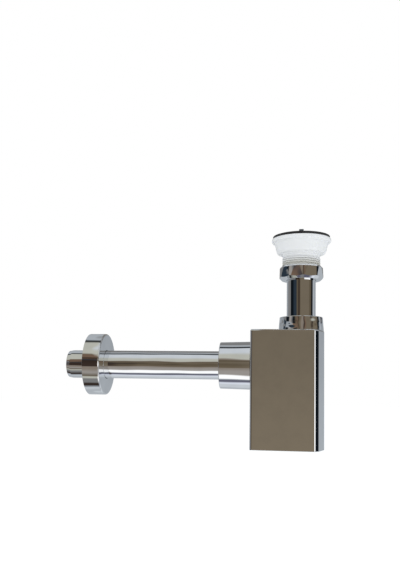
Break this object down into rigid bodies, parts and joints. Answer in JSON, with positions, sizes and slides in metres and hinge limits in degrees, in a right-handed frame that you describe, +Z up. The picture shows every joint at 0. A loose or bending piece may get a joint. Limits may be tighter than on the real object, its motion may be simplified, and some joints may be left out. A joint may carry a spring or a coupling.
{
  "type": "basin trap",
  "caption": "Rectangular bottle trap for a wash basin, with a plug waste on top, a sliding inlet tube and a sliding wall tube with a wall rosette.",
  "frame": {"origin": "centre of the ring face under the waste's steel flange, which seats on the basin", "axes": "+Z up along the inlet tube, -X along the wall tube towards the wall, +Y to the back of the picture"},
  "size_m": [0.2989, 0.07, 0.2457],
  "materials": {
    "chrome": "mirror bright plating",
    "stainless": "satin, turned",
    "steel_wire": "bright drawn",
    "white_plastic": "moulded, slight gloss",
    "black_rubber": "smooth",
    "plug_rubber": "matte moulded",
    "brass": "turned"
  },
  "bodies": {
    "waste": {"strainer_flange": "stainless", "strainer_screw": "stainless", "screw_insert": "brass", "flange_gasket": "black_rubber", "waste_body": "white_plastic", "strainer_bridge": "white_plastic", "plug": "plug_rubber"},
    "ring": {"plug_ring": "steel_wire"},
    "washer": {"coupling_washer": "black_rubber"},
    "union_nut": {"coupling_nut": "chrome"},
    "inlet": {"tailpipe": "chrome"},
    "trap": {"trap_body": "chrome", "inlet_seal": "black_rubber", "outlet_seal": "black_rubber"},
    "inlet_ring": {"inlet_slip_ring": "white_plastic"},
    "inlet_collar": {"inlet_nut": "chrome"},
    "outlet_ring": {"outlet_slip_ring": "white_plastic"},
    "outlet_collar": {"outlet_nut": "chrome"},
    "wall_pipe": {"wall_tube": "chrome"},
    "wall_plate": {"rosette": "chrome", "rosette_seal": "black_rubber"},
    "clean_out_seal": {"base_seal": "black_rubber"},
    "clean_out": {"base_plug": "chrome"}
  },
  "joints": [
    {"name": "ring_swing", "type": "hinge", "parent": "waste", "child": "ring", "pos_m": [0, 0, 0.006], "axis": [1, 0, 0], "range_deg": [0, 214]},
    {"name": "washer_drop", "type": "slide", "parent": "waste", "child": "washer", "axis": [0, 0, -1], "range_m": [0, 0.00693]},
    {"name": "union_nut_turn", "type": "hinge", "parent": "washer", "child": "union_nut", "pos_m": [0, 0, -0.041], "axis": [0, 0, -1], "range_deg": [0, 1080]},
    {"name": "trap_swivel", "type": "hinge", "parent": "washer", "child": "inlet", "pos_m": [0, 0, -0.045], "axis": [0, 0, 1], "continuous": true},
    {"name": "trap_height", "type": "slide", "parent": "inlet", "child": "trap", "axis": [0, 0, 1], "range_m": [-0.02, 0.03]},
    {"name": "inlet_ring_rise", "type": "slide", "parent": "trap", "child": "inlet_ring", "axis": [0, 0, 1], "range_m": [0, 0.00693]},
    {"name": "inlet_collar_turn", "type": "hinge", "parent": "inlet_ring", "child": "inlet_collar", "pos_m": [0, 0, -0.1], "axis": [0, 0, 1], "range_deg": [0, 1080]},
    {"name": "outlet_ring_travel", "type": "slide", "parent": "trap", "child": "outlet_ring", "axis": [-1, 0, 0], "range_m": [0, 0.00693]},
    {"name": "outlet_collar_turn", "type": "hinge", "parent": "outlet_ring", "child": "outlet_collar", "pos_m": [-0.07, 0, -0.1445], "axis": [-1, 0, 0], "range_deg": [0, 1080]},
    {"name": "wall_tube_slide", "type": "slide", "parent": "trap", "child": "wall_pipe", "axis": [1, 0, 0], "range_m": [-0.02, 0.025]},
    {"name": "rosette_slide", "type": "slide", "parent": "wall_pipe", "child": "wall_plate", "axis": [1, 0, 0], "range_m": [-0.02, 0.075]},
    {"name": "clean_out_seal_drop", "type": "slide", "parent": "trap", "child": "clean_out_seal", "axis": [0, 0, -1], "range_m": [0, 0.005]},
    {"name": "clean_out_turn", "type": "hinge", "parent": "clean_out_seal", "child": "clean_out", "pos_m": [-0.015, 0, -0.2335], "axis": [0, 0, -1], "range_deg": [0, 720]}
  ],
  "couplings": [
    {"joint": "washer_drop", "follows": "union_nut_turn", "m_per_rad": 0.00036749},
    {"joint": "inlet_ring_rise", "follows": "inlet_collar_turn", "m_per_rad": 0.00036749},
    {"joint": "outlet_ring_travel", "follows": "outlet_collar_turn", "m_per_rad": 0.00036749},
    {"joint": "clean_out_seal_drop", "follows": "clean_out_turn", "m_per_rad": 0.00039789}
  ]
}
